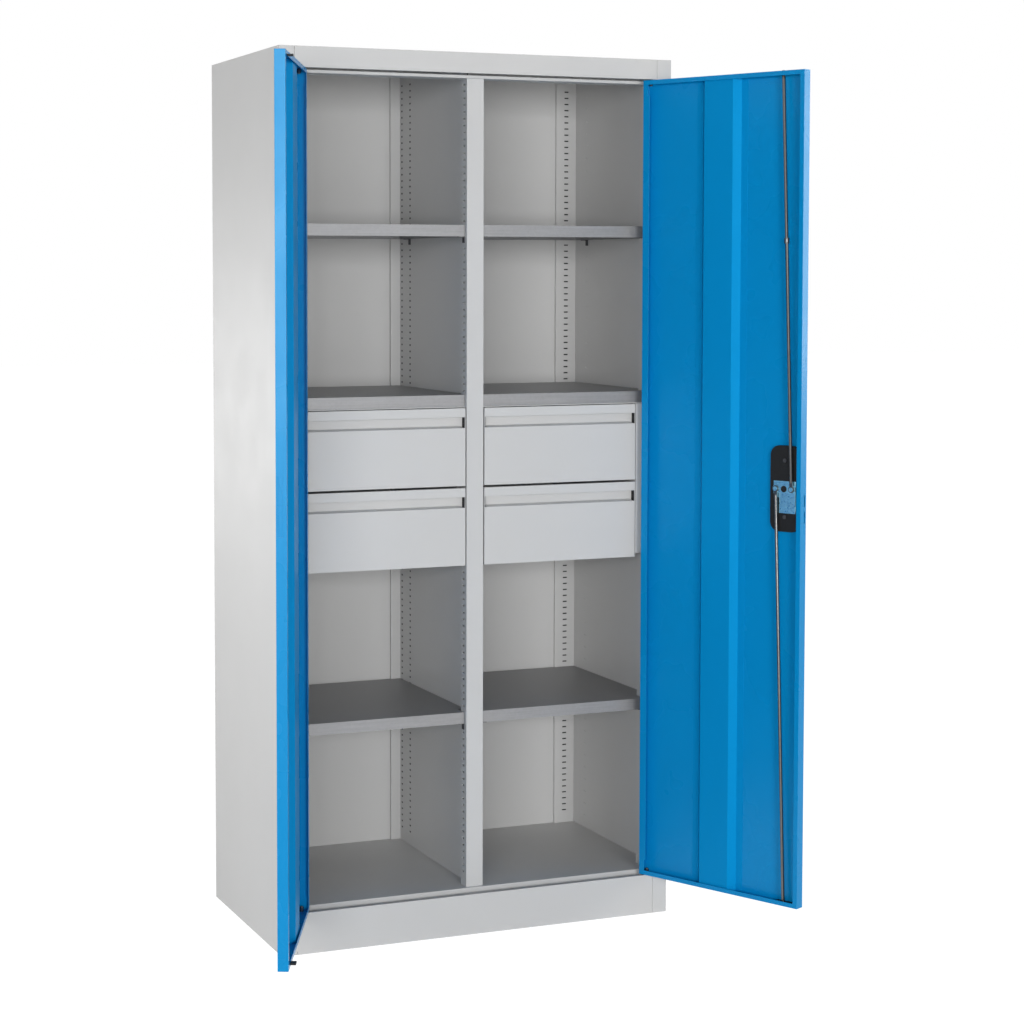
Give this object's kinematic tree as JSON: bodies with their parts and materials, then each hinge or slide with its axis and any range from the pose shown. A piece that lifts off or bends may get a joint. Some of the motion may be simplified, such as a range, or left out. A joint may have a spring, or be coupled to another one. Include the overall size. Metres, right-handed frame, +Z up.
{
  "type": "tool cabinet",
  "caption": "Tall steel tool cabinet with hinged double doors, a middle partition, shelves, drawers and a rod lock worked by a turning knob.",
  "frame": {"origin": "on the floor at the middle of the carcass's front plane", "axes": "+X to the right seen from the front, +Y to the back, +Z up"},
  "size_m": [1.2059, 0.8802, 1.95],
  "materials": {
    "grey_paint": "fine powder coat, light grey",
    "blue_paint": "fine powder coat, light blue",
    "galvanised": "hot-dip galvanised sheet with faint spangle",
    "zinc": "blue-passivated zinc plate",
    "rod_steel": "drawn bright steel",
    "black_plastic": "moulded, fine grain",
    "bush_plastic": "moulded",
    "key_chrome": "satin chrome"
  },
  "bodies": {
    "carcass": {"right_side_panel": "grey_paint", "left_side_panel": "grey_paint", "back_panel": "grey_paint", "top_panel": "grey_paint", "bottom_panel": "grey_paint", "plinth": "grey_paint", "top_stop_rail": "grey_paint", "hinge_brackets": "zinc", "hinge_pins": "zinc", "partition_sheet": "grey_paint", "partition_post": "grey_paint", "right_rear_post": "grey_paint", "left_rear_post": "grey_paint", "right_side_liner": "grey_paint", "left_side_liner": "grey_paint", "right_upper_shelf": "galvanised", "left_upper_shelf": "galvanised", "right_middle_shelf": "galvanised", "left_middle_shelf": "galvanised", "right_lower_shelf": "galvanised", "left_lower_shelf": "galvanised", "shelf_clips": "zinc", "right_drawer_frame_outer": "grey_paint", "left_drawer_frame_outer": "grey_paint", "right_drawer_frame_inner": "grey_paint", "left_drawer_frame_inner": "grey_paint", "right_drawer_frame_top": "grey_paint", "left_drawer_frame_top": "grey_paint", "right_drawer_rails": "zinc", "left_drawer_rails": "zinc"},
    "left_door": {"left_door_panel": "blue_paint", "left_door_stiffener": "blue_paint", "left_door_bushes": "bush_plastic", "left_door_keeper": "blue_paint", "left_door_catches": "black_plastic"},
    "right_door": {"right_door_panel": "blue_paint", "right_door_stiffener": "blue_paint", "right_door_bushes": "bush_plastic", "handle_dish": "black_plastic", "lock_plate": "zinc", "dish_screws": "zinc", "rod_guides": "black_plastic"},
    "handle": {"handle_knob": "black_plastic", "lock_cam": "zinc", "rod_pins": "zinc"},
    "lock_cylinder": {"lock_cylinder": "key_chrome"},
    "upper_rod": {"upper_rod": "rod_steel"},
    "lower_rod": {"lower_rod": "rod_steel"},
    "right_upper_drawer": {"right_upper_drawer_front": "grey_paint", "right_upper_drawer_tray": "grey_paint", "right_upper_drawer_slides": "zinc"},
    "right_lower_drawer": {"right_lower_drawer_front": "grey_paint", "right_lower_drawer_tray": "grey_paint", "right_lower_drawer_slides": "zinc"},
    "left_upper_drawer": {"left_upper_drawer_front": "grey_paint", "left_upper_drawer_tray": "grey_paint", "left_upper_drawer_slides": "zinc"},
    "left_lower_drawer": {"left_lower_drawer_front": "grey_paint", "left_lower_drawer_tray": "grey_paint", "left_lower_drawer_slides": "zinc"}
  },
  "joints": [
    {"name": "right_door_hinge", "type": "hinge", "parent": "carcass", "child": "right_door", "pos_m": [0.418, 0.006, 0.09], "axis": [0, 0, 1], "range_deg": [-115.7, 4.3]},
    {"name": "left_door_hinge", "type": "hinge", "parent": "carcass", "child": "left_door", "pos_m": [-0.418, 0.006, 0.09], "axis": [0, 0, -1], "range_deg": [-114.3, 5.7]},
    {"name": "handle_turn", "type": "hinge", "parent": "right_door", "child": "handle", "pos_m": [0.56961, -0.32943, 1.004], "axis": [-0.9011, -0.4337, 0], "range_deg": [0, 90]},
    {"name": "key_turn", "type": "hinge", "parent": "handle", "child": "lock_cylinder", "pos_m": [0.56961, -0.32943, 1.004], "axis": [-0.9011, -0.4337, 0], "range_deg": [0, 90]},
    {"name": "upper_rod_swing", "type": "hinge", "parent": "handle", "child": "upper_rod", "pos_m": [0.57829, -0.34746, 1.004], "axis": [-0.9011, -0.4337, 0], "range_deg": [-92, 0]},
    {"name": "lower_rod_swing", "type": "hinge", "parent": "handle", "child": "lower_rod", "pos_m": [0.56094, -0.31141, 1.004], "axis": [-0.9011, -0.4337, 0], "range_deg": [-92, 0]},
    {"name": "right_upper_drawer_slide", "type": "slide", "parent": "carcass", "child": "right_upper_drawer", "axis": [0, -1, 0], "range_m": [0, 0.2997]},
    {"name": "right_lower_drawer_slide", "type": "slide", "parent": "carcass", "child": "right_lower_drawer", "axis": [0, -1, 0], "range_m": [0, 0.2997]},
    {"name": "left_upper_drawer_slide", "type": "slide", "parent": "carcass", "child": "left_upper_drawer", "axis": [0, -1, 0], "range_m": [0, 0.2997]},
    {"name": "left_lower_drawer_slide", "type": "slide", "parent": "carcass", "child": "left_lower_drawer", "axis": [0, -1, 0], "range_m": [0, 0.2997]}
  ],
  "couplings": [
    {"joint": "upper_rod_swing", "follows": "handle_turn", "ratio": -1.0141},
    {"joint": "lower_rod_swing", "follows": "handle_turn", "ratio": -1.0139}
  ]
}
